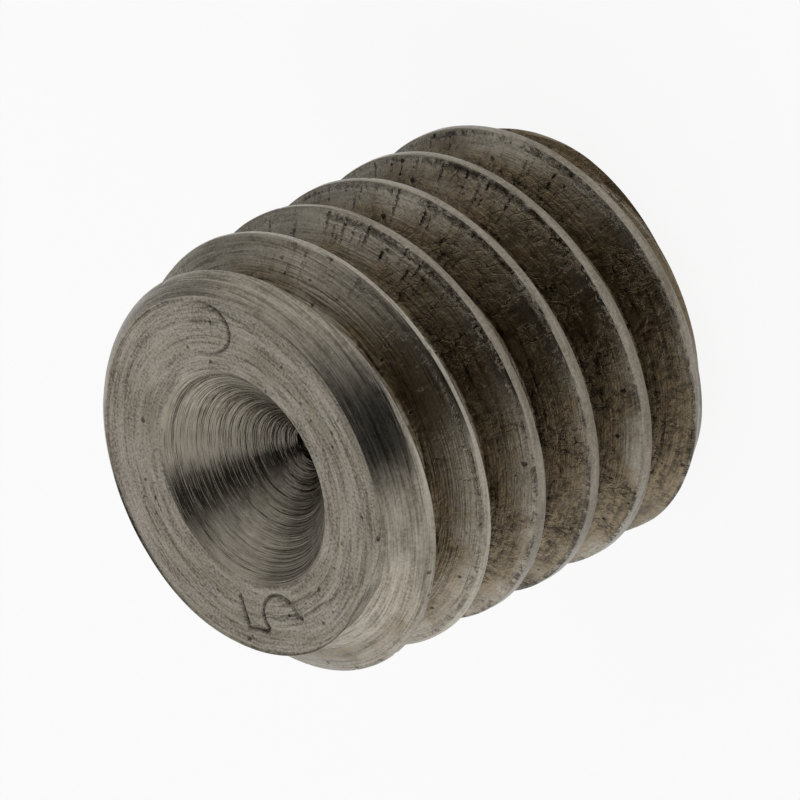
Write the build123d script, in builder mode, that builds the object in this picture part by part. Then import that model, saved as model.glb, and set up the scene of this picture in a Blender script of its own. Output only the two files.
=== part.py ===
from build123d import *
from math import cos, radians, sin, tan
import os

# Restrictor screw: a headless M6 x 1 screw turned from one piece of steel, with a fine bore
# through its web that opens into a drilled cone in the nozzle face.  Millimetres.
# It stands on its driven end at Z = 0 with the nozzle face up; the screw axis is Z.

# Right-hand thread, M6 x 1
major_radius = 3.0
pitch = 1.0
flank_half_angle = 30.0
crest_flat = pitch / 8
thread_depth = 0.6134 * pitch
groove_overcut = 0.05
crest_height_at_x = 0.8
full_groove_turns = 6
last_groove_turn_angle = 210.0
runout_length = 2.0

# Blank
length = 6.0
nozzle_face_radius = 2.6
nozzle_chamfer_height = 0.42
driven_face_radius = 2.68
driven_chamfer_height = 0.48

# Metering bore and its cone
bore_radius = 0.25
cone_mouth_radius = 1.53
cone_included_angle = 90.0

# Hexagon socket in the driven end
socket_across_flats = 3.0
socket_depth = 2.5
socket_mouth_radius = 1.85
socket_floor_included_angle = 118.0
socket_mouth_included_angle = 120.0

# Bore size in hundredths stamped across the nozzle face, one digit on each side of the cone
digit_depth = 0.04
digit_stroke = 0.08
digit_row_angle = -21.2
digit_row_height = 0.11
zero_centre_x = 2.14
zero_half_width = 0.38
zero_half_height = 0.53
five_centre_x = -1.92
five_bar_left = -0.28
five_bar_right = 0.20
five_top = 0.48
five_shoulder_x = -0.32
five_shoulder_y = 0.11
five_bowl_right = 0.31
five_bowl_middle = -0.22
five_tail_x = -0.11
five_tail_y = -0.54

# Dimensions that follow from the ones above
cone_depth = (cone_mouth_radius - bore_radius) / tan(radians(cone_included_angle / 2))
socket_flat_radius = socket_across_flats / 2
socket_corner_radius = socket_flat_radius / cos(radians(30))
socket_floor_rise = (socket_flat_radius - bore_radius) / tan(
    radians(socket_floor_included_angle / 2)
)
socket_mouth_depth = (socket_mouth_radius - socket_flat_radius) / tan(
    radians(socket_mouth_included_angle / 2)
)
flank_slope = tan(radians(flank_half_angle))
groove_half_width = (pitch - crest_flat) / 2
groove_top_half_width = groove_half_width + groove_overcut * flank_slope
groove_root_half_width = groove_half_width - thread_depth * flank_slope
groove_start_height = crest_height_at_x - 1.5 * pitch


def groove_section(plane):
    """Sketch the section of the thread groove on a plane whose X points away from the axis."""
    with BuildSketch(plane) as section:
        with BuildLine():
            Polyline(
                (groove_overcut, -groove_top_half_width),
                (groove_overcut, groove_top_half_width),
                (-thread_depth, groove_root_half_width),
                (-thread_depth, -groove_root_half_width),
                (groove_overcut, -groove_top_half_width),
            )
        make_face()
    return section.sketch


with BuildPart() as restrictor_screw:
    # Turned blank: both end chamfers, the cone and the bore
    with BuildSketch(Plane.XZ):
        with BuildLine():
            Polyline(
                (bore_radius, 0),
                (driven_face_radius, 0),
                (major_radius, driven_chamfer_height),
                (major_radius, length - nozzle_chamfer_height),
                (nozzle_face_radius, length),
                (cone_mouth_radius, length),
                (bore_radius, length - cone_depth),
                (bore_radius, 0),
            )
        make_face()
    revolve(axis=Axis.Z)

    # Thread groove, cut turn by turn upward from below the driven end
    for turn in range(full_groove_turns + 1):
        turn_angle = 360.0 if turn < full_groove_turns else last_groove_turn_angle
        with BuildLine() as groove_path:
            Helix(
                pitch=pitch,
                height=pitch * turn_angle / 360,
                radius=major_radius,
                center=(0, 0, groove_start_height + turn * pitch),
            )
        turn_start = Plane(
            origin=groove_path.line @ 0,
            x_dir=(1, 0, 0),
            z_dir=groove_path.line % 0,
        )
        sweep(
            sections=groove_section(turn_start),
            path=groove_path.line,
            is_frenet=True,
            mode=Mode.SUBTRACT,
        )

    # Run-out at the nozzle end, where the groove leaves the blank along a straight line
    runout_angle = radians(last_groove_turn_angle)
    runout_start = Plane(
        origin=groove_path.line @ 1,
        x_dir=(cos(runout_angle), sin(runout_angle), 0),
        z_dir=groove_path.line % 1,
    )
    extrude(groove_section(runout_start), amount=runout_length, mode=Mode.SUBTRACT)

    # Hexagon socket with a drilled floor and a countersunk mouth
    with BuildSketch(Plane.XY):
        RegularPolygon(socket_corner_radius, 6)
    extrude(amount=socket_depth, mode=Mode.SUBTRACT)
    with BuildSketch(Plane.XZ):
        with BuildLine():
            Polyline(
                (0, socket_depth),
                (socket_flat_radius, socket_depth),
                (bore_radius, socket_depth + socket_floor_rise),
                (0, socket_depth + socket_floor_rise),
                (0, socket_depth),
            )
        make_face()
    revolve(axis=Axis.Z, mode=Mode.SUBTRACT)
    with BuildSketch(Plane.XZ):
        with BuildLine():
            Polyline(
                (0, 0),
                (socket_mouth_radius, 0),
                (socket_flat_radius, socket_mouth_depth),
                (0, socket_mouth_depth),
                (0, 0),
            )
        make_face()
    revolve(axis=Axis.Z, mode=Mode.SUBTRACT)

    # Stamped digits, a nought on the +X side and a five on the -X side
    row_angle = radians(digit_row_angle)
    digit_row = Plane(
        origin=(
            -digit_row_height * sin(row_angle),
            digit_row_height * cos(row_angle),
            length,
        ),
        x_dir=(cos(row_angle), sin(row_angle), 0),
        z_dir=(0, 0, 1),
    )
    with BuildSketch(digit_row):
        with Locations((zero_centre_x, 0)):
            Ellipse(zero_half_width + digit_stroke / 2, zero_half_height + digit_stroke / 2)
            Ellipse(
                zero_half_width - digit_stroke / 2,
                zero_half_height - digit_stroke / 2,
                mode=Mode.SUBTRACT,
            )
    extrude(amount=-digit_depth, mode=Mode.SUBTRACT)
    with BuildSketch(digit_row):
        with BuildLine():
            Polyline(
                (five_centre_x + five_bar_right, five_top),
                (five_centre_x + five_bar_left, five_top),
                (five_centre_x + five_shoulder_x, five_shoulder_y),
            )
            ThreePointArc(
                (five_centre_x + five_shoulder_x, five_shoulder_y),
                (five_centre_x + five_bowl_right, five_bowl_middle),
                (five_centre_x + five_tail_x, five_tail_y),
            )
        trace(line_width=digit_stroke)
    extrude(amount=-digit_depth, mode=Mode.SUBTRACT)

restrictor_screw.part.label = "restrictor_screw"

os.makedirs("parts", exist_ok=True)
export_step(restrictor_screw.part, "parts/restrictor_screw.step")
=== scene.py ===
"""Restrictor screw: an M6 x 1 headless screw in dulled, stained steel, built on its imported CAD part."""

import math

import bpy
import numpy as np
from bpy.props import FloatProperty, FloatVectorProperty, IntProperty, PointerProperty
from mathutils import Matrix, Vector


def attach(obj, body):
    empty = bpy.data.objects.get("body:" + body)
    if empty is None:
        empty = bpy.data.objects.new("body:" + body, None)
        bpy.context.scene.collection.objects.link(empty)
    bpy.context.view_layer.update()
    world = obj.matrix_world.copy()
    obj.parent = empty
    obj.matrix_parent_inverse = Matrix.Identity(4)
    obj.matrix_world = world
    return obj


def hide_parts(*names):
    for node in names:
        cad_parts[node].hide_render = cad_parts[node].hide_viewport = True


bl_info = {
    "name": "Restrictor Screw",
    "version": (1, 0, 0),
    "blender": (4, 5, 0),
    "location": "3D View > Sidebar > Restrictor Screw",
    "description": "Builds a threaded screw with its cone, stamped digits and worn steel, in a studio",
    "category": "Add Mesh",
}

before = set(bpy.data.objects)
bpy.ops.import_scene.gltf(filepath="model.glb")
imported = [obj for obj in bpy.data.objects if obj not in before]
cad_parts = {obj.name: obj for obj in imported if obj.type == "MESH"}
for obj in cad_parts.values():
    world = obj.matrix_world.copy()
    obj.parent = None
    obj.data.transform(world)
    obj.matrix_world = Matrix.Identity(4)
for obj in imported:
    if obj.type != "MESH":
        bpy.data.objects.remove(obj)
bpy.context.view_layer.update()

MM = 0.001
FULL_TURN = 2 * math.pi
FLANK_SLOPE = math.tan(math.radians(30))  # axial run of a thread flank for each unit of depth
DIGIT_TURN = math.radians(-21.2)  # direction from the axis to the middle of the nought
FIVE_TURN = math.radians(157)  # direction from the axis to the middle of the five


# ---------------------------------------------------------------- node helpers
def plug(tree, slot, value):
    """Link a field or a node's output to a socket, or set the socket to a plain value."""
    if isinstance(value, Field):
        tree.links.new(value.socket, slot)
    elif isinstance(value, bpy.types.NodeSocket):
        tree.links.new(value, slot)
    else:
        slot.default_value = value


def math_node(tree, kind, *values):
    """A math node fed with fields or numbers, as a field."""
    node = tree.nodes.new("ShaderNodeMath")
    node.operation = kind
    for slot, value in zip(node.inputs, values):
        plug(tree, slot, value)
    return Field(tree, node.outputs[0])


class Field:
    """A value inside a node tree that can be combined with the usual arithmetic signs."""

    def __init__(self, tree, socket):
        self.tree, self.socket = tree, socket

    def op(self, kind, *others):
        """A math node with this value first."""
        return math_node(self.tree, kind, self, *others)

    def __add__(self, other):
        return self.op("ADD", other)

    def __sub__(self, other):
        return self.op("SUBTRACT", other)

    def __rsub__(self, other):
        return math_node(self.tree, "SUBTRACT", other, self)

    def __mul__(self, other):
        return self.op("MULTIPLY", other)

    def __truediv__(self, other):
        return self.op("DIVIDE", other)

    def clamped(self, low=0.0, high=1.0):
        return self.op("MAXIMUM", low).op("MINIMUM", high)

    def ramp(self, zero_at, one_at):
        """0 at the first value and 1 at the second, smooth between; the first may be the larger."""
        node = self.tree.nodes.new("ShaderNodeMapRange")
        node.interpolation_type = "SMOOTHSTEP"
        falling = zero_at > one_at
        plug(self.tree, node.inputs["Value"], self)
        node.inputs["From Min"].default_value = min(zero_at, one_at)
        node.inputs["From Max"].default_value = max(zero_at, one_at)
        node.inputs["To Min"].default_value = 1.0 if falling else 0.0
        node.inputs["To Max"].default_value = 0.0 if falling else 1.0
        return Field(self.tree, node.outputs["Result"])

    def mix(self, other, amount):
        """This value where amount is 0 and the other where it is 1."""
        return self + (other - self) * amount


def combine(tree, x, y, z):
    """A vector from three fields or numbers."""
    node = tree.nodes.new("ShaderNodeCombineXYZ")
    for slot, value in zip(node.inputs, (x, y, z)):
        plug(tree, slot, value)
    return node.outputs[0]


def separate(tree, vector):
    """The three parts of a vector as fields."""
    node = tree.nodes.new("ShaderNodeSeparateXYZ")
    plug(tree, node.inputs[0], vector)
    return [Field(tree, node.outputs[axis]) for axis in range(3)]


def color_mix(tree, first, second, amount):
    """The first colour where amount is 0 and the second where it is 1."""
    node = tree.nodes.new("ShaderNodeMix")
    node.data_type = "RGBA"
    plug(tree, node.inputs["Factor"], amount)
    for slot, value in ((node.inputs[6], first), (node.inputs[7], second)):
        plug(tree, slot, value if isinstance(value, bpy.types.NodeSocket) else (*value, 1.0))
    return node.outputs[2]


def noise(tree, vector, scale=1.0, detail=2.0, roughness=0.5, distortion=0.0, seed=0.0):
    """Noise read at a vector; the seed is a fixed shift through the fourth dimension."""
    node = tree.nodes.new("ShaderNodeTexNoise")
    node.noise_dimensions = "4D"
    plug(tree, node.inputs["Vector"], vector)
    node.inputs["W"].default_value = seed
    node.inputs["Scale"].default_value = scale
    node.inputs["Detail"].default_value = detail
    node.inputs["Roughness"].default_value = roughness
    node.inputs["Distortion"].default_value = distortion
    return Field(tree, node.outputs[0])


def cells(tree, vector, seed, edge=False):
    """Distance to the nearest scattered point, or to the line between two, and a random pick for each."""
    shift = tree.nodes.new("ShaderNodeVectorMath")
    plug(tree, shift.inputs[0], vector)
    shift.inputs[1].default_value = (seed, seed, seed)
    node = tree.nodes.new("ShaderNodeTexVoronoi")
    node.feature = "DISTANCE_TO_EDGE" if edge else "F1"
    node.inputs["Scale"].default_value = 1.0
    tree.links.new(shift.outputs[0], node.inputs["Vector"])
    distance = Field(tree, node.outputs["Distance"])
    if edge:
        return distance, None
    split = tree.nodes.new("ShaderNodeSeparateColor")
    tree.links.new(node.outputs["Color"], split.inputs[0])
    return distance, Field(tree, split.outputs[0])


# ---------------------------------------------------------------- settings
class ScrewSettings(bpy.types.PropertyGroup):
    pitch: FloatProperty(
        name="Pitch", description="Axial distance from one crest to the next",
        default=1.0 * MM, subtype="DISTANCE")
    major_radius: FloatProperty(
        name="Major Radius", description="Radius over the crests",
        default=3.0 * MM, subtype="DISTANCE")
    root_radius: FloatProperty(
        name="Root Radius", description="Radius at the bottom of the thread groove",
        default=2.387 * MM, subtype="DISTANCE")
    length: FloatProperty(
        name="Length", description="Length from the driven end to the nozzle face",
        default=6.0 * MM, subtype="DISTANCE")
    crest_height: FloatProperty(
        name="Crest Height", description="Height of a crest line on the +X side",
        default=0.8 * MM, subtype="DISTANCE")
    crest_width_nozzle: FloatProperty(
        name="Crest Width, Nozzle End", description="Width of the crest flat near the nozzle face",
        default=0.09 * MM, subtype="DISTANCE")
    crest_width_driven: FloatProperty(
        name="Crest Width, Driven End", description="Width of the crest flat towards the driven end",
        default=0.17 * MM, subtype="DISTANCE")
    nozzle_face_radius: FloatProperty(
        name="Nozzle Face Radius", description="Outer radius of the nozzle face",
        default=2.6 * MM, subtype="DISTANCE")
    nozzle_chamfer: FloatProperty(
        name="Nozzle Chamfer", description="Height of the chamfer at the nozzle end",
        default=0.42 * MM, subtype="DISTANCE")
    driven_face_radius: FloatProperty(
        name="Driven Face Radius", description="Outer radius of the driven end face",
        default=2.68 * MM, subtype="DISTANCE")
    driven_chamfer: FloatProperty(
        name="Driven Chamfer", description="Height of the chamfer at the driven end",
        default=0.48 * MM, subtype="DISTANCE")
    groove_end_turn: FloatProperty(
        name="Groove End Turn", description="Height at which the groove leaves the blank, in pitches",
        default=5.85)
    cone_mouth_radius: FloatProperty(
        name="Cone Mouth Radius", description="Radius of the drilled cone at the face",
        default=1.53 * MM, subtype="DISTANCE")
    bore_radius: FloatProperty(
        name="Bore Radius", description="Radius of the metering bore",
        default=0.25 * MM, subtype="DISTANCE")
    socket_flats: FloatProperty(
        name="Socket Across Flats", description="Size of the hexagon socket",
        default=3.0 * MM, subtype="DISTANCE")
    socket_mouth_radius: FloatProperty(
        name="Socket Mouth Radius", description="Radius of the lead-in of the socket at the driven face",
        default=1.85 * MM, subtype="DISTANCE")
    socket_depth: FloatProperty(
        name="Socket Depth", description="Depth of the hexagon socket",
        default=2.5 * MM, subtype="DISTANCE")
    digit_depth: FloatProperty(
        name="Digit Depth", description="Depth of the stamped digits",
        default=0.035 * MM, subtype="DISTANCE")
    wear: FloatProperty(
        name="Wear", description="Height of the nicks and unevenness on the crests",
        default=0.02 * MM, subtype="DISTANCE")
    columns: IntProperty(
        name="Columns", description="Columns of the mesh round the axis, a multiple of six",
        default=360, min=48)


class SteelSettings(bpy.types.PropertyGroup):
    steel: FloatVectorProperty(
        name="Steel", description="Colour of the dulled steel",
        subtype="COLOR", default=(0.185, 0.163, 0.128))
    # also the colour reached by the painted highlight on the crest flats near the nozzle end
    bright: FloatVectorProperty(
        name="Bright Steel", description="Colour where the steel is rubbed",
        subtype="COLOR", default=(0.42, 0.385, 0.325))
    stain: FloatVectorProperty(
        name="Stain", description="Colour of the brown film in the thread",
        subtype="COLOR", default=(0.185, 0.14, 0.082))
    # the streaks in this colour are partly corrosion and partly painted glints along the turning marks in the
    # roots
    rust: FloatVectorProperty(
        name="Rust", description="Colour of the orange-brown streaks in the grooves",
        subtype="COLOR", default=(0.34, 0.225, 0.105))
    # also the colour of the painted shade in the film's hollows and down the cone
    dirt: FloatVectorProperty(
        name="Dirt", description="Colour of the dirt in pits and tears",
        subtype="COLOR", default=(0.020, 0.015, 0.010))


class StudioSettings(bpy.types.PropertyGroup):
    camera_distance: FloatProperty(
        name="Camera Distance", description="Distance from the camera to the point it looks at",
        default=0.3, subtype="DISTANCE")
    camera_elevation: FloatProperty(
        name="Camera Elevation", description="Height of the camera above the horizon",
        default=math.radians(38.29), subtype="ANGLE")
    camera_roll: FloatProperty(
        name="Camera Roll", description="Turn of the camera about its line of sight",
        default=math.radians(-116.75), subtype="ANGLE")
    aim: FloatVectorProperty(
        name="Aim", description="The point that the camera looks at",
        default=(-0.0087 * MM, -1.4354 * MM, 4.1817 * MM), subtype="TRANSLATION")
    field_width: FloatProperty(
        name="Field Width", description="Width seen by the camera at the screw",
        default=10.507 * MM, subtype="DISTANCE")
    gap_width: FloatProperty(
        name="Tent Opening", description="Half width of the dark opening, as a share of its distance",
        default=0.42)
    floor_lift: FloatProperty(
        name="Floor Lift", description="How far the floor is lifted to white for the camera and the steel",
        default=0.9, subtype="FACTOR", min=0.0, max=1.0)
    tent_light: FloatProperty(
        name="Tent Light", description="Brightness of the light tent",
        default=1.0)


def in_millimetres(settings):
    """The settings by name as plain numbers, each length in millimetres as it was typed."""
    plain = {}
    for name in settings.__annotations__:
        value = getattr(settings, name)
        if settings.bl_rna.properties[name].subtype == "DISTANCE":
            value = float(np.float32(round(value / MM, 6)))
        plain[name] = value
    return plain


# ---------------------------------------------------------------- screw
BELOW = -9.0  # a thread height under the driven face, held to it by the tree
ABOVE = 99.0  # a thread height over the nozzle face, held to it by the tree
THREAD, FACE, CONE, PLAIN = range(4)  # thread and chamfers, nozzle face, drilled cone, the rest


def columns_round(count):
    """Angles of the mesh columns, closer together at the stamped digits, with one on each socket corner."""
    fine = np.linspace(0, FULL_TURN, 7201)
    density = np.ones_like(fine)
    for centre in (DIGIT_TURN, FIVE_TURN):
        away = np.abs((fine - centre + math.pi) % FULL_TURN - math.pi)
        density += 1.1 * (away < 0.36)
    total = np.concatenate([[0], np.cumsum((density[1:] + density[:-1]) / 2)])
    angles = np.interp(np.linspace(0, total[-1], count + 1), total, fine)
    for corner in range(7):
        angle = corner * math.pi / 3
        angles[np.abs(angles - angle).argmin()] = angle
    return angles


def stroke_distance(x, y, line):
    """Distance from points to a line of straight steps."""
    best = np.full(np.shape(x), np.inf)
    for (ax, ay), (bx, by) in zip(line[:-1], line[1:]):
        dx, dy = bx - ax, by - ay
        t = np.clip(((x - ax) * dx + (y - ay) * dy) / (dx * dx + dy * dy), 0, 1)
        best = np.minimum(best, np.hypot(x - ax - t * dx, y - ay - t * dy))
    return best


def stamped(x, y):
    """How deep the stamped digits are at points on the nozzle face, from 0 to 1."""
    across = x * math.cos(DIGIT_TURN) + y * math.sin(DIGIT_TURN)
    up = -x * math.sin(DIGIT_TURN) + y * math.cos(DIGIT_TURN)
    nought_turn = np.linspace(0, FULL_TURN, 49)
    nought = [(2.14 + 0.38 * math.cos(a), 0.11 + 0.53 * math.sin(a)) for a in nought_turn]
    bowl_turn = np.radians(np.linspace(122, -88, 15))
    five = [(-1.70, 0.60), (-2.20, 0.57), (-2.225, 0.22)]
    five += [(-1.995 + 0.345 * math.cos(a), -0.12 + 0.345 * math.sin(a)) for a in bowl_turn]
    # both were struck at a slant, deep on one side and faint on the other
    nought_strike = np.clip(0.5 - (up - 0.11) / 0.9, 0.08, 1)
    five_strike = np.clip(0.95 + up * 0.9, 0.3, 1)
    half_width, run = 0.04, 0.032
    deep = np.zeros(np.shape(x))
    for line, strike in ((nought, nought_strike), (five, five_strike)):
        stroke = np.clip((half_width - stroke_distance(across, up, line)) / run, 0, 1)
        deep = np.maximum(deep, stroke * stroke * (3 - 2 * stroke) * strike)
    return deep


def steps_over_crest(pitch, crest_flat):
    """Heights of the mesh rows over one pitch, from the crest line and close together at the crest."""
    edge = crest_flat / 2
    root_edge = pitch / 2 - 0.083
    over = edge + 0.02
    half = [0.0, 0.5 * edge, 0.85 * edge, edge, over]
    half += list(np.linspace(over, root_edge, 9)[1:]) + [pitch / 2]
    return sorted([-v for v in half[1:-1]] + half)


def screw_rows(size, angles):
    """Rows of the closed skin, in order round its section, each with what its points carry."""
    rows = []

    def row(*carried):
        """Thread height, share of the way inwards, inner radius, inner level and part."""
        rows.append([np.broadcast_to(np.asarray(value, float), angles.shape) for value in carried])

    pitch, length, depth = size["pitch"], size["length"], size["socket_depth"]
    cone_mouth, bore = size["cone_mouth_radius"], size["bore_radius"]
    corner = size["socket_flats"] / 2
    hexagon = corner / np.cos((angles % (math.pi / 3)) - math.pi / 6)
    mouth = size["socket_mouth_radius"]
    mouth_level = (mouth - hexagon) / math.tan(math.radians(60))
    drill_top = depth + (corner - bore) / math.tan(math.radians(59))
    cone_bottom = length - (cone_mouth - bore)
    # driven end face, outwards
    for step in np.linspace(0, 1, 6)[:-1]:
        row(BELOW, 1 - step, mouth, 0.0, PLAIN)
    # thread, upwards
    steps = steps_over_crest(pitch, (size["crest_width_nozzle"] + size["crest_width_driven"]) / 2)
    for turn in range(int(round((length + pitch) / pitch)) + 2):
        height = size["crest_height"] - 2 * pitch + turn * pitch
        for step in steps:
            row(height + step + pitch * angles / FULL_TURN, 0.0, 0.0, 0.0, THREAD)
    # nozzle face, inwards
    for step in np.linspace(0, 1, 47)[1:]:
        row(ABOVE, step, cone_mouth, length, FACE)
    # cone, downwards, with the rings the drill left
    for step in np.linspace(0, 1, 43)[1:]:
        ring = 0.010 * math.sin(step * 57) * math.sin(step * 23 + 1) if 0.03 < step < 0.97 else 0.0
        level = length + (cone_bottom - length) * step + ring
        row(ABOVE, 1.0, cone_mouth + (bore - cone_mouth) * step, level, CONE)
    # bore, drilled bottom of the socket, socket walls and lead-in
    for level in np.linspace(cone_bottom, drill_top, 6)[1:]:
        row(ABOVE, 1.0, bore, level, PLAIN)
    for step in np.linspace(0, 1, 4)[1:]:
        row(ABOVE, 1.0, bore + (corner - bore) * step, drill_top + (depth - drill_top) * step, PLAIN)
    row(ABOVE, 1.0, hexagon, depth, PLAIN)
    for step in np.linspace(0, 1, 4)[1:]:
        row(ABOVE, 1.0, hexagon, depth + (mouth_level - depth) * step, PLAIN)
    row(ABOVE, 1.0, mouth, 0.0, PLAIN)
    return np.array(rows)


def skin_mesh(size):
    """The unshaped skin as a grid whose points carry what the thread rule needs."""
    angles = columns_round(size["columns"])
    rows = screw_rows(size, angles)
    grid = count, across = rows.shape[0], len(angles)
    height, inward, radius, level, part = (rows[:, k, :] for k in range(5))
    angle = np.broadcast_to(angles, grid)
    index = np.arange(count * across).reshape(grid)
    quads = np.stack([index[:-1, :-1], index[:-1, 1:], index[1:, 1:], index[1:, :-1]], -1).reshape(-1, 4)
    # rows in order as a flat sheet, so the mesh is sound before it is shaped
    sheet = np.stack([angle, np.broadcast_to(np.arange(count)[:, None] * 0.01, grid), np.zeros(grid)], -1)
    mesh = bpy.data.meshes.new("restrictor_screw_skin")
    mesh.from_pydata(sheet.reshape(-1, 3).tolist(), [], quads.tolist())
    reach = size["nozzle_face_radius"] + (size["cone_mouth_radius"] - size["nozzle_face_radius"]) * inward
    digits = np.where(part == FACE, stamped(reach * np.cos(angle), reach * np.sin(angle)), 0.0)
    carried = {
        "angle": angle, "height": height, "inward": inward, "inner_radius": radius, "inner_level": level,
        "stamp": digits, "face": part == FACE, "cone": part == CONE, "plain": part == PLAIN,
    }
    for name, values in carried.items():
        values = np.ascontiguousarray(values, np.float32).ravel()
        mesh.attributes.new(name, "FLOAT", "POINT").data.foreach_set("value", values)
    return mesh


THREAD_INPUTS = {
    "Pitch": "pitch", "Major Radius": "major_radius", "Root Radius": "root_radius", "Length": "length",
    "Crest Height": "crest_height", "Crest Width Nozzle": "crest_width_nozzle",
    "Crest Width Driven": "crest_width_driven", "Nozzle Face Radius": "nozzle_face_radius",
    "Nozzle Chamfer": "nozzle_chamfer", "Driven Face Radius": "driven_face_radius",
    "Driven Chamfer": "driven_chamfer", "Groove End Turn": "groove_end_turn",
    "Digit Depth": "digit_depth", "Wear": "wear",
}


def thread_radius(given, angle, level, turns, away):
    """Radius of the thread with its chamfers and run-out, before wear."""
    pitch, major, root, length = (given[name] for name in ("Pitch", "Major Radius", "Root Radius", "Length"))
    nozzle_face, driven_face = given["Nozzle Face Radius"], given["Driven Face Radius"]
    narrow = 1.0 - angle.op("COSINE").ramp(-0.2, 0.9) * 0.4
    flat = given["Crest Width Driven"].mix(given["Crest Width Nozzle"], level.ramp(3.0, 4.6)) * narrow * 0.5
    root_half = pitch * 0.5 - flat - (major - root) * FLANK_SLOPE
    # the tool leaves the blank in a straight line past the last full turn
    groove = turns.op("FLOOR") + 0.5 + given["Crest Height"] / pitch + angle / FULL_TURN
    leaving = ((groove - given["Groove End Turn"]) * FULL_TURN).clamped(0.0, 1.2)
    # the last groove runs shallow where it breaks out of the driven rim
    lifted = (root + level.ramp(0.35, 0.0) * 0.17) / leaving.op("COSINE")
    thread = lifted + (pitch * 0.5 - away - root_half).op("MAXIMUM", 0.0) / FLANK_SLOPE
    thread = thread.op("SMOOTH_MIN", major, 0.012)
    nozzle_limit = nozzle_face + (length - level) * (major - nozzle_face) / given["Nozzle Chamfer"]
    nozzle_limit = nozzle_limit - (length - level).ramp(0.1, 0.0) * 0.035
    driven_limit = driven_face + level * (major - driven_face) / given["Driven Chamfer"]
    # the end of the groove and the worn upper side are rounded over more than the rest
    rounding = angle.op("COSINE").ramp(0.1, 0.9) * 0.55 + angle.op("COSINE").ramp(-0.3, -0.8) * 0.55 + 0.1
    return thread.op("SMOOTH_MIN", nozzle_limit, rounding).op("SMOOTH_MIN", driven_limit, 0.03)


def thread_tree(material):
    """Geometry nodes that wrap the skin round the axis and cut thread, chamfers, digits and wear into it."""
    tree = bpy.data.node_groups.new("Screw Thread", "GeometryNodeTree")
    tree.interface.new_socket("Geometry", in_out="INPUT", socket_type="NodeSocketGeometry")
    for name in THREAD_INPUTS:
        tree.interface.new_socket(name, in_out="INPUT", socket_type="NodeSocketFloat")
    tree.interface.new_socket("Geometry", in_out="OUTPUT", socket_type="NodeSocketGeometry")
    entry = tree.nodes.new("NodeGroupInput")
    given = {name: Field(tree, entry.outputs[name]) for name in THREAD_INPUTS}

    def attribute(name):
        node = tree.nodes.new("GeometryNodeInputNamedAttribute")
        node.data_type = "FLOAT"
        node.inputs["Name"].default_value = name
        return Field(tree, node.outputs["Attribute"])

    angle, inward = attribute("angle"), attribute("inward")
    level = attribute("height").op("MAXIMUM", 0.0).op("MINIMUM", given["Length"])
    turns = (level - given["Crest Height"]) / given["Pitch"] - angle / FULL_TURN
    from_crest = (turns - turns.op("ROUND")) * given["Pitch"]
    away = (turns - turns.op("ROUND")).op("ABSOLUTE") * given["Pitch"]
    outer = thread_radius(given, angle, level, turns, away)
    # nicks and unevenness, strongest on the crests
    at = combine(tree, angle.op("COSINE") * outer, angle.op("SINE") * outer, level)
    uneven = noise(tree, at, 1.3, 3.0, 0.6, seed=3.0) - 0.5
    nick = noise(tree, at, 5.0, 2.0, 0.6, seed=11.0).ramp(0.62, 0.74) * away.ramp(0.16, 0.04)
    outer = outer + uneven * given["Wear"] * 0.8 - nick * given["Wear"]
    keep = 1.0 - inward
    radius = outer * keep + attribute("inner_radius") * inward
    rise = level * keep + attribute("inner_level") * inward - attribute("stamp") * given["Digit Depth"]
    # the face falls away a little at its outer edge
    rise = rise - attribute("face") * inward.ramp(0.09, 0.0) * 0.02
    place = combine(tree, angle.op("COSINE") * radius * MM, angle.op("SINE") * radius * MM, rise * MM)

    shape = tree.nodes.new("GeometryNodeSetPosition")
    tree.links.new(entry.outputs["Geometry"], shape.inputs["Geometry"])
    tree.links.new(place, shape.inputs["Position"])
    store = tree.nodes.new("GeometryNodeStoreNamedAttribute")
    store.data_type, store.domain = "FLOAT", "POINT"
    store.inputs["Name"].default_value = "crest"
    tree.links.new(shape.outputs[0], store.inputs["Geometry"])
    plug(tree, store.inputs["Value"], from_crest)
    merge = tree.nodes.new("GeometryNodeMergeByDistance")
    merge.inputs["Distance"].default_value = 0.0015 * MM
    tree.links.new(store.outputs[0], merge.inputs["Geometry"])
    realize = tree.nodes.new("GeometryNodeRealizeInstances")
    tree.links.new(merge.outputs[0], realize.inputs["Geometry"])
    finish = tree.nodes.new("GeometryNodeSetMaterial")
    finish.inputs["Material"].default_value = material
    tree.links.new(realize.outputs[0], finish.inputs["Geometry"])
    leave = tree.nodes.new("NodeGroupOutput")
    tree.links.new(finish.outputs[0], leave.inputs[0])
    return tree


def build_screw(size, material):
    """Shape the skin with the thread nodes and leave one plain mesh."""
    raw = bpy.data.objects.new("skin", skin_mesh(size))
    bpy.context.scene.collection.objects.link(raw)
    modifier = raw.modifiers.new("Thread", "NODES")
    modifier.node_group = thread_tree(material)
    sockets = {i.name: i.identifier for i in modifier.node_group.interface.items_tree if i.in_out == "INPUT"}
    for name, setting in THREAD_INPUTS.items():
        modifier[sockets[name]] = size[setting]
    bpy.context.view_layer.update()
    graph = bpy.context.evaluated_depsgraph_get()
    mesh = bpy.data.meshes.new_from_object(raw.evaluated_get(graph), depsgraph=graph)
    bpy.data.objects.remove(raw)
    mesh.name = "restrictor_screw_steel"
    mesh.shade_smooth()
    mesh.set_sharp_from_angle(angle=math.radians(32))
    piece = bpy.data.objects.new("restrictor_screw_steel", mesh)
    bpy.context.scene.collection.objects.link(piece)
    return piece


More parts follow.
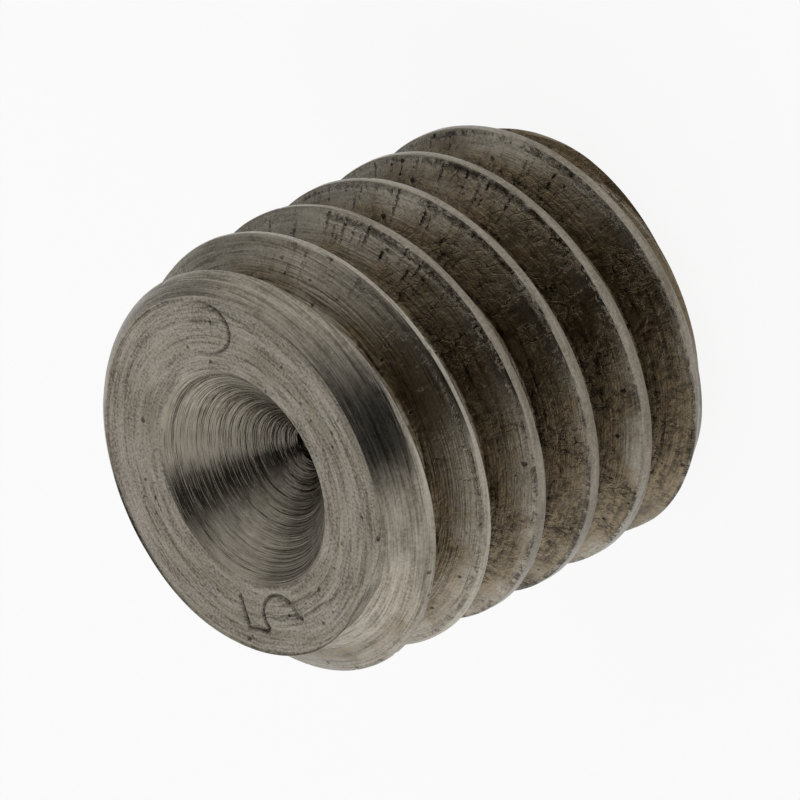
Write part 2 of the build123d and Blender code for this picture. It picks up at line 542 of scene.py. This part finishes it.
# ---------------------------------------------------------------- steel
class SteelPlace:
    """Where a point of the steel lies, in millimetres, and how far it belongs to each part of the screw."""

    def __init__(self, tree):
        self.tree = tree
        coords = tree.nodes.new("ShaderNodeTexCoord")
        scaled = tree.nodes.new("ShaderNodeVectorMath")
        scaled.operation = "SCALE"
        scaled.inputs["Scale"].default_value = 1 / MM
        tree.links.new(coords.outputs["Object"], scaled.inputs[0])
        self.at = scaled.outputs[0]
        self.x, self.y, self.z = separate(tree, self.at)
        self.r = (self.x * self.x + self.y * self.y).op("SQRT")
        self.cosine, self.sine = self.x / self.r, self.y / self.r
        # distance from the crest line, above it or below, and as a share of the way down to the root
        self.crest = self.attribute("crest")
        self.depth = self.crest.op("ABSOLUTE") / 0.44
        self.stamp = self.attribute("stamp")
        self.face, self.cone = self.attribute("face"), self.attribute("cone")
        self.thread = (1.0 - self.face - self.cone - self.attribute("plain")).clamped()
        self.flank = self.thread * self.r.ramp(2.985, 2.95) * self.z.ramp(5.6, 5.5)
        self.flats = self.thread * self.r.ramp(2.95, 2.985) * self.z.ramp(5.62, 5.52)
        # the turning marks show plainly near the nozzle end
        self.streaky = self.thread * self.z.ramp(2.5, 5.6)

    def attribute(self, name):
        node = self.tree.nodes.new("ShaderNodeAttribute")
        node.attribute_name = name
        return Field(self.tree, node.outputs["Fac"])


class SteelMarks:
    """Turning marks and grain of the steel, each round nought."""

    def __init__(self, tree, p):
        self.tree, self.p = tree, p
        self.fine = self.turned(34.0, 3.5, 1.0)
        self.coarse = self.turned(12.0, 2.6, 5.0)
        self.cone = self.turned(17.0, 0.7, 8.0, 3.0, 0.7)
        self.bands = self.turned(3.4, 1.3, 12.0, 1.0)
        self.mottle = noise(tree, p.at, 2.4, 4.0, 0.65, 0.4, seed=2.0) - 0.5
        self.grain = noise(tree, p.at, 24.0, 3.0, 0.7, seed=4.0) - 0.5
        self.lumps = noise(tree, p.at, 8.0, 3.0, 0.6, 0.8, seed=14.0) - 0.5
        self.blotch = noise(tree, p.at, 1.1, 3.0, 0.6, 0.3, seed=7.0) - 0.5

    def turned(self, scale, turn, seed, detail=2.0, lean=-0.7):
        """Marks that run round the axis: quick to change across them and slow along them."""
        p = self.p
        vector = combine(self.tree, p.cosine * turn, p.sine * turn, p.r * scale + p.z * scale * lean)
        return noise(self.tree, vector, 1.0, detail, 0.6, seed=seed) - 0.5


class SteelDamage:
    """Pits, tears, cracks and ragged edges, each from 0 to 1."""

    def __init__(self, tree, p, m):
        pit_gap, pit_pick = cells(tree, combine(tree, p.x * 4.0, p.y * 4.0, p.z * 4.0), 21.0)
        self.pits = (pit_gap + m.grain * 0.25 + pit_pick * 0.14).ramp(0.2, 0.1) * (p.face + p.flank).clamped()

        # short tears across the marks on the outer half of the flanks, each a thin sliver
        bent = m.grain * 1.2
        along = p.z * 7.0 + p.r * 5.0 + m.lumps * 3.0
        sliver = combine(tree, p.cosine * 36.0 + bent, p.sine * 36.0 + bent, along)
        tear_gap, tear_pick = cells(tree, sliver, 31.0)
        patch = (m.mottle * 5.0 + m.blotch * 3.0 + 0.55).clamped()
        zone = p.z.ramp(5.3, 4.2) * patch * p.depth.ramp(0.8, 0.5) * p.cosine.ramp(-0.9, 0.2)
        self.tear = tear_gap.ramp(0.4, 0.2) * tear_pick.ramp(0.35, 0.6) * p.flank * zone

        # crackled patches of the brown film
        bent = m.lumps * 2.5
        warped = combine(tree, p.cosine * 27.0 + bent, p.sine * 27.0 + bent, p.z * 13.0 + m.lumps * 3.0)
        crack_line, _ = cells(tree, warped, 51.0, edge=True)
        patch = (m.blotch * 6.0 + m.mottle * 4.0 + 0.35).clamped()
        self.crack = crack_line.ramp(0.12, 0.02) * patch * p.z.ramp(5.0, 4.0)

        # the front edge of each crest flat is ragged in places
        edge = (p.crest - 0.092).op("ABSOLUTE").ramp(0.04, 0.0) * p.z.ramp(4.9, 4.2) * p.thread
        self.ragged = edge * (m.lumps * 5.0 + m.grain * 3.0 + m.blotch * 5.0 + 0.2).clamped()


def steel_color(tree, s, p, m, worn, stain):
    """Dulled steel, rubbed bright along the marks, with a painted highlight and painted shade on the crest
    flats, brown film, orange-brown streaks that are partly corrosion and partly painted glints, and grime and
    painted shade over it.
    """
    face_stain = p.face * (m.mottle * 1.8 + m.bands * 2.6 + 0.1).clamped()
    turned = m.fine * (p.streaky + p.face * 0.8 + p.cone * 0.5)
    turned = turned + m.coarse * (p.thread * 0.7 + p.streaky * 0.1 + p.face * 1.1)
    rubbed = turned + m.grain * (p.face * 1.6 + p.thread * 0.9) + m.mottle * 0.35
    # painted highlight on the crest flats towards the nozzle end, painted shade on them towards the driven
    # end, darkest on their lower side
    flat_shade = p.crest.ramp(-0.02, -0.09) * p.z.ramp(4.4, 3.2) + 0.45
    flats = p.flats * p.z.ramp(3.6, 4.6) * 0.3 - p.flats * p.z.ramp(4.6, 3.6) * flat_shade * 0.4
    bright = rubbed * 1.7 + p.face * 0.12 + flats - p.streaky * 0.1 + 0.36
    color = color_mix(tree, tuple(s.steel), tuple(s.bright), bright.clamped())
    color = color_mix(tree, color, tuple(s.stain), (stain * 0.85 + face_stain * 0.55).clamped())

    # painted glints in orange-brown along the turning marks in the roots; the flecks on the nozzle face are
    # corrosion
    streaks = turned.ramp(0.04, 0.3) * stain * p.depth.ramp(0.45, 0.8) * (m.blotch * 4.0 + 0.55).clamped()
    glint_and_rust_mask = streaks + face_stain * m.grain.ramp(0.05, 0.25) * 0.3
    color = color_mix(tree, color, tuple(s.rust), glint_and_rust_mask.clamped())

    # painted shade in the low spots of the film's lumps and turning marks, with its dark crack lines
    shadowed = m.lumps.ramp(0.06, -0.14) * 0.55 + turned.ramp(0.04, -0.2) * 0.6 + worn.crack * 0.5
    # grime in pits, tears and ragged edges, darker in the stamped digits and where the marks are low
    soil_and_shade = stain * shadowed + worn.pits * 0.6 + worn.tear * 0.85 + worn.ragged * 0.7
    soil_and_shade = soil_and_shade + p.stamp.ramp(0.2, 0.9) * 0.5 + (rubbed * -1.3 - 0.07).clamped()
    # the dark mix fades towards the driven rim, painting that end lighter as if light falls on it, and
    # painted shade deepens down the cone
    soil_and_shade = soil_and_shade * (p.z.ramp(0.0, 0.6) * 0.6 + 0.4) + p.cone * p.r.ramp(1.3, 0.35) * 0.45
    return color_mix(tree, color, tuple(s.dirt), soil_and_shade.clamped())


def steel_relief(p, m, worn, stain):
    """Height of the marks, film and damage, in millimetres."""
    marks = m.fine * (p.streaky * 0.006 + p.thread * 0.004 + p.face * 0.012)
    marks = marks + m.coarse * (p.thread * 0.008 + p.face * 0.024)
    marks = marks + m.cone * p.cone * 0.045 + p.cone * p.r.ramp(1.39, 1.44) * 0.012
    rough = m.grain * (p.flank * 0.005 + p.face * 0.014) + m.lumps * stain * 0.02
    lost = worn.pits * 0.014 + (worn.tear + worn.ragged) * 0.022 + worn.crack * stain * 0.006
    return marks + rough - lost


def steel_material(s):
    """Turned steel: marks that run round the axis, brown film in the thread, pits, tears, rubbed marks,
    painted highlight and shade on the crest flats, painted glints in the roots and painted shade in hollows
    and down the cone.
    """
    material = bpy.data.materials.new("worn_turned_steel")
    material.use_nodes = True
    tree = material.node_tree
    tree.nodes.clear()
    out = tree.nodes.new("ShaderNodeOutputMaterial")
    shader = tree.nodes.new("ShaderNodeBsdfPrincipled")
    tree.links.new(shader.outputs[0], out.inputs["Surface"])
    p = SteelPlace(tree)
    m = SteelMarks(tree, p)
    worn = SteelDamage(tree, p, m)
    # brown film: thick in the roots and away from +X, thinner towards the crests and the nozzle end
    bare = p.z.ramp(1.5, 5.5) * 0.3 + p.cosine.ramp(-0.3, 0.9) * 0.25 + 0.05
    film = p.depth - bare + m.blotch * 1.5 + m.lumps * 0.7 + m.coarse * 0.8
    stain = (film.ramp(-0.2, 0.4) * p.flank).clamped()

    tree.links.new(steel_color(tree, s, p, m, worn, stain), shader.inputs["Base Color"])
    rough = stain * 0.07 + p.face * 0.2 - p.cone * 0.04 + m.fine * 0.25 + m.mottle * 0.15
    rough = rough + (worn.pits + worn.tear) * 0.2 + 0.28
    plug(tree, shader.inputs["Roughness"], rough.clamped(0.15, 0.85))
    shader.inputs["Metallic"].default_value = 1.0
    # light stretches across the turning marks, less so on the matt nozzle face
    plug(tree, shader.inputs["Anisotropic"], 0.8 - p.face * 0.6)
    shader.inputs["Anisotropic Rotation"].default_value = 0.25
    tangent = tree.nodes.new("ShaderNodeTangent")
    tangent.direction_type, tangent.axis = "RADIAL", "Z"
    tree.links.new(tangent.outputs[0], shader.inputs["Tangent"])

    bump = tree.nodes.new("ShaderNodeBump")
    bump.inputs["Strength"].default_value = 1.0
    bump.inputs["Distance"].default_value = MM
    plug(tree, bump.inputs["Height"], steel_relief(p, m, worn, stain))
    tree.links.new(bump.outputs[0], shader.inputs["Normal"])
    return material


class MESH_OT_restrictor_screw(bpy.types.Operator):
    """Build the screw's visible skin over its CAD part"""

    bl_idname = "mesh.restrictor_screw"
    bl_label = "Restrictor Screw"

    def execute(self, context):
        material = steel_material(context.scene.screw_steel)
        piece = build_screw(in_millimetres(context.scene.screw_shape), material)
        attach(piece, "root")
        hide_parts("restrictor_screw")
        return {"FINISHED"}


# ---------------------------------------------------------------- studio
def studio_camera(scene, s):
    """A long-lens camera in front of the screw, turned about its line of sight."""
    elevation = s.camera_elevation
    back = Vector((0, -math.cos(elevation), math.sin(elevation)))
    up = Matrix.Rotation(s.camera_roll, 3, back) @ Vector((0, math.sin(elevation), math.cos(elevation)))
    facing = Matrix((up.cross(back), up, back)).transposed()
    data = bpy.data.cameras.new("camera")
    data.sensor_width = 36.0
    data.lens = data.sensor_width * s.camera_distance / s.field_width
    data.clip_start, data.clip_end = s.camera_distance / 30, s.camera_distance * 30
    camera = bpy.data.objects.new("camera", data)
    camera.matrix_world = Matrix.Translation(Vector(s.aim) + back * s.camera_distance) @ facing.to_4x4()
    scene.collection.objects.link(camera)
    scene.camera = camera


def paper_material(lift):
    """White paper, lifted to nearly white for the camera and the steel, so only its shadows are darker."""
    paper = bpy.data.materials.new("white_paper")
    paper.use_nodes = True
    tree = paper.node_tree
    shader = tree.nodes["Principled BSDF"]
    shader.inputs["Roughness"].default_value = 0.9
    shader.inputs["Specular IOR Level"].default_value = 0.0
    coords = tree.nodes.new("ShaderNodeTexCoord")
    weave = noise(tree, coords.outputs["Object"], 900.0, 2.0, seed=1.0)
    white = color_mix(tree, (0.93, 0.93, 0.93), (0.95, 0.95, 0.95), weave)
    tree.links.new(white, shader.inputs["Base Color"])
    path = tree.nodes.new("ShaderNodeLightPath")
    seen = (Field(tree, path.outputs["Is Camera Ray"]) + Field(tree, path.outputs["Is Glossy Ray"])).clamped()
    glow = tree.nodes.new("ShaderNodeEmission")
    glow.inputs["Color"].default_value = (1, 1, 1, 1)
    join = tree.nodes.new("ShaderNodeMixShader")
    plug(tree, join.inputs[0], seen * lift)
    tree.links.new(shader.outputs[0], join.inputs[1])
    tree.links.new(glow.outputs[0], join.inputs[2])
    tree.links.new(join.outputs[0], tree.nodes["Material Output"].inputs["Surface"])
    return paper


def studio_floor(scene, s):
    """A flat sheet of white paper under the screw."""
    mesh = bpy.data.meshes.new("floor")
    half = 0.6
    corners = [(-half, -half, 0), (half, -half, 0), (half, half, 0), (-half, half, 0)]
    mesh.from_pydata(corners, [], [(0, 1, 2, 3)])
    mesh.materials.append(paper_material(s.floor_lift))
    floor = bpy.data.objects.new("floor", mesh)
    scene.collection.objects.link(floor)


def light_tent(scene, s):
    """A tent of soft light with a dark opening above the camera, brighter on one side behind the screw."""
    world = bpy.data.worlds.new("light_tent")
    scene.world = world
    world.use_nodes = True
    tree = world.node_tree
    tree.nodes.clear()
    coords = tree.nodes.new("ShaderNodeTexCoord")
    across, away, height = separate(tree, coords.outputs["Generated"])
    leaning = across - height.ramp(0.78, 0.92) * 0.15
    left = leaning.ramp(-s.gap_width - 0.17, -s.gap_width + 0.03)
    right = leaning.ramp(s.gap_width + 0.36, 0.02)
    gap = left * right * away.ramp(0.45, 0.1)
    behind = away.ramp(0.1, 0.6)
    tent = across.ramp(-0.15, -0.6) * behind * 0.45 - across.ramp(0.1, 0.6) * behind * 0.58
    tent = (tent + 0.95 - gap * 0.915) * s.tent_light
    path = tree.nodes.new("ShaderNodeLightPath")
    background = tree.nodes.new("ShaderNodeBackground")
    background.inputs["Color"].default_value = (1, 1, 1, 1)
    plug(tree, background.inputs["Strength"], tent.mix(1.0, Field(tree, path.outputs["Is Camera Ray"])))
    out = tree.nodes.new("ShaderNodeOutputWorld")
    tree.links.new(background.outputs[0], out.inputs["Surface"])


class SCENE_OT_screw_studio(bpy.types.Operator):
    """Build the pale floor, the light tent and the camera"""

    bl_idname = "scene.screw_studio"
    bl_label = "Screw Studio"

    def execute(self, context):
        settings = context.scene.screw_studio
        studio_camera(context.scene, settings)
        studio_floor(context.scene, settings)
        light_tent(context.scene, settings)
        context.scene.view_settings.view_transform = "Standard"
        return {"FINISHED"}


class VIEW3D_PT_restrictor_screw(bpy.types.Panel):
    """Settings and buttons for the restrictor screw"""

    bl_label = "Restrictor Screw"
    bl_space_type = "VIEW_3D"
    bl_region_type = "UI"
    bl_category = "Restrictor Screw"

    def draw(self, context):
        for group in SETTINGS:
            settings = getattr(context.scene, group)
            column = self.layout.column(align=True)
            for name in settings.__annotations__:
                column.prop(settings, name)
        self.layout.operator("mesh.restrictor_screw")
        self.layout.operator("scene.screw_studio")


# ---------------------------------------------------------------- registration
SETTINGS = {"screw_shape": ScrewSettings, "screw_steel": SteelSettings, "screw_studio": StudioSettings}
CLASSES = (*SETTINGS.values(), MESH_OT_restrictor_screw, SCENE_OT_screw_studio, VIEW3D_PT_restrictor_screw)


def register():
    for cls in CLASSES:
        bpy.utils.register_class(cls)
    for group, cls in SETTINGS.items():
        setattr(bpy.types.Scene, group, PointerProperty(type=cls))


def unregister():
    for group in SETTINGS:
        delattr(bpy.types.Scene, group)
    for cls in reversed(CLASSES):
        bpy.utils.unregister_class(cls)


def main():
    register()
    bpy.ops.mesh.restrictor_screw()
    bpy.ops.scene.screw_studio()


if __name__ == "__main__":
    main()
